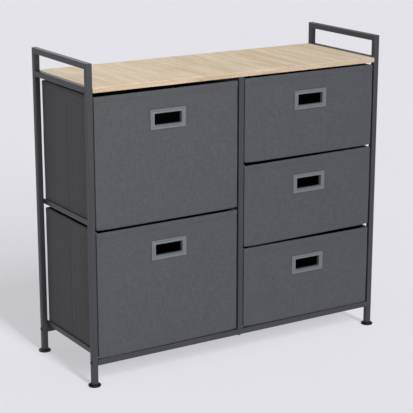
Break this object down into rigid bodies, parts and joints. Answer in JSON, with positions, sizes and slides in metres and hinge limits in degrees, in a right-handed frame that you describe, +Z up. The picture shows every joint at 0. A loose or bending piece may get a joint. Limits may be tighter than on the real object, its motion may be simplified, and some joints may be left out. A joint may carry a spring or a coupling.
{
  "type": "fabric drawer dresser",
  "caption": "Square-tube steel frame dresser with a wood-effect top, side handle loops, levelling feet and pull-out fabric drawers in two columns.",
  "frame": {"origin": "on the floor, in the middle of the footprint", "axes": "+Z up, +X to the right as seen from the front, the drawer fronts face -Y"},
  "size_m": [0.887, 0.317, 0.81],
  "materials": {
    "frame_steel": "dark grey powder coat, fine texture",
    "dark_fasteners": "blackened steel",
    "oak_board": "pale oak grain paper over fibreboard, satin",
    "black_plastic": "moulded, slightly rough",
    "drawer_fabric": "dark grey woven polyester",
    "lining_fabric": "black nonwoven",
    "fibreboard": "raw fibreboard",
    "pasteboard": "raw grey-brown board",
    "grey_pull": "moulded light grey, satin"
  },
  "bodies": {
    "frame": {"left_front_post": "frame_steel", "left_rear_post": "frame_steel", "right_front_post": "frame_steel", "right_rear_post": "frame_steel", "left_handle_bar": "frame_steel", "right_handle_bar": "frame_steel", "left_board_rail": "frame_steel", "right_board_rail": "frame_steel", "bottom_front_rail": "frame_steel", "bottom_rear_rail": "frame_steel", "centre_front_post": "frame_steel", "centre_rear_post": "frame_steel", "centre_top_rail": "frame_steel", "top_board": "oak_board", "board_tabs": "frame_steel", "left_lower_runners": "frame_steel", "left_upper_runners": "frame_steel", "right_lower_runners": "frame_steel", "right_middle_runners": "frame_steel", "right_upper_runners": "frame_steel", "tube_plugs": "black_plastic", "rail_bolts": "dark_fasteners", "centre_post_bolts": "dark_fasteners", "board_screws": "dark_fasteners"},
    "left_lower_drawer": {"left_lower_cover": "drawer_fabric", "left_lower_lining": "lining_fabric", "left_lower_front_board": "fibreboard", "left_lower_wall_boards": "pasteboard", "left_lower_base_board": "fibreboard", "left_lower_finger_pull": "grey_pull"},
    "left_upper_drawer": {"left_upper_cover": "drawer_fabric", "left_upper_lining": "lining_fabric", "left_upper_front_board": "fibreboard", "left_upper_wall_boards": "pasteboard", "left_upper_base_board": "fibreboard", "left_upper_finger_pull": "grey_pull"},
    "right_lower_drawer": {"right_lower_cover": "drawer_fabric", "right_lower_lining": "lining_fabric", "right_lower_front_board": "fibreboard", "right_lower_wall_boards": "pasteboard", "right_lower_base_board": "fibreboard", "right_lower_finger_pull": "grey_pull"},
    "right_middle_drawer": {"right_middle_cover": "drawer_fabric", "right_middle_lining": "lining_fabric", "right_middle_front_board": "fibreboard", "right_middle_wall_boards": "pasteboard", "right_middle_base_board": "fibreboard", "right_middle_finger_pull": "grey_pull"},
    "right_upper_drawer": {"right_upper_cover": "drawer_fabric", "right_upper_lining": "lining_fabric", "right_upper_front_board": "fibreboard", "right_upper_wall_boards": "pasteboard", "right_upper_base_board": "fibreboard", "right_upper_finger_pull": "grey_pull"},
    "left_front_foot": {"left_front_foot": "black_plastic"},
    "left_rear_foot": {"left_rear_foot": "black_plastic"},
    "right_front_foot": {"right_front_foot": "black_plastic"},
    "right_rear_foot": {"right_rear_foot": "black_plastic"}
  },
  "joints": [
    {"name": "left_lower_drawer_slide", "type": "slide", "parent": "frame", "child": "left_lower_drawer", "axis": [0, -1, 0], "range_m": [0, 0.22]},
    {"name": "left_upper_drawer_slide", "type": "slide", "parent": "frame", "child": "left_upper_drawer", "axis": [0, -1, 0], "range_m": [0, 0.22]},
    {"name": "right_lower_drawer_slide", "type": "slide", "parent": "frame", "child": "right_lower_drawer", "axis": [0, -1, 0], "range_m": [0, 0.22]},
    {"name": "right_middle_drawer_slide", "type": "slide", "parent": "frame", "child": "right_middle_drawer", "axis": [0, -1, 0], "range_m": [0, 0.22]},
    {"name": "right_upper_drawer_slide", "type": "slide", "parent": "frame", "child": "right_upper_drawer", "axis": [0, -1, 0], "range_m": [0, 0.22]},
    {"name": "left_front_foot_level", "type": "slide", "parent": "frame", "child": "left_front_foot", "axis": [0, 0, -1], "range_m": [0, 0.008]},
    {"name": "left_rear_foot_level", "type": "slide", "parent": "frame", "child": "left_rear_foot", "axis": [0, 0, -1], "range_m": [0, 0.008]},
    {"name": "right_front_foot_level", "type": "slide", "parent": "frame", "child": "right_front_foot", "axis": [0, 0, -1], "range_m": [0, 0.008]},
    {"name": "right_rear_foot_level", "type": "slide", "parent": "frame", "child": "right_rear_foot", "axis": [0, 0, -1], "range_m": [0, 0.008]}
  ]
}
